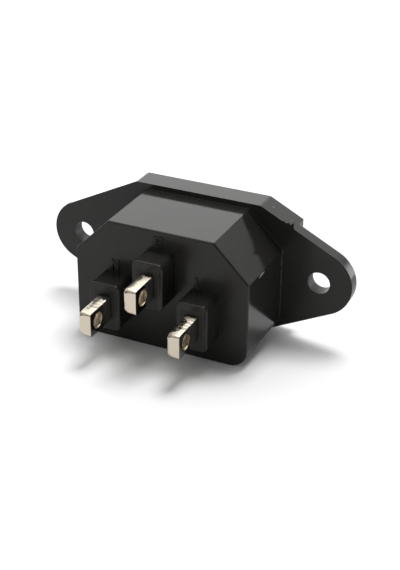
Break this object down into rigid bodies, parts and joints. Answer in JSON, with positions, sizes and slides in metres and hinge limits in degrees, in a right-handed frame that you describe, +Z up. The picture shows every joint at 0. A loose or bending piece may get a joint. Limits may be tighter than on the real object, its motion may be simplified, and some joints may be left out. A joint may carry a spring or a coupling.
{
  "type": "panel inlet socket",
  "caption": "Black moulded panel inlet socket with screw ears, a recess round flat pins and solder tails with eyes behind.",
  "frame": {"origin": "midway between the two screw holes, in the rear face of the flange, which seats on the panel", "axes": "+X along the two ears, +Y out of the panel towards the mating connector, +Z up towards the earth pole"},
  "size_m": [0.0504, 0.0269, 0.0214],
  "materials": {
    "housing": "black thermoplastic, moulded, semi-gloss",
    "blades": "stamped brass with a thin pale nickel plating"
  },
  "bodies": {
    "root": {"housing": "housing", "earth_blade": "blades", "neutral_blade": "blades", "line_blade": "blades"}
  },
  "joints": []
}
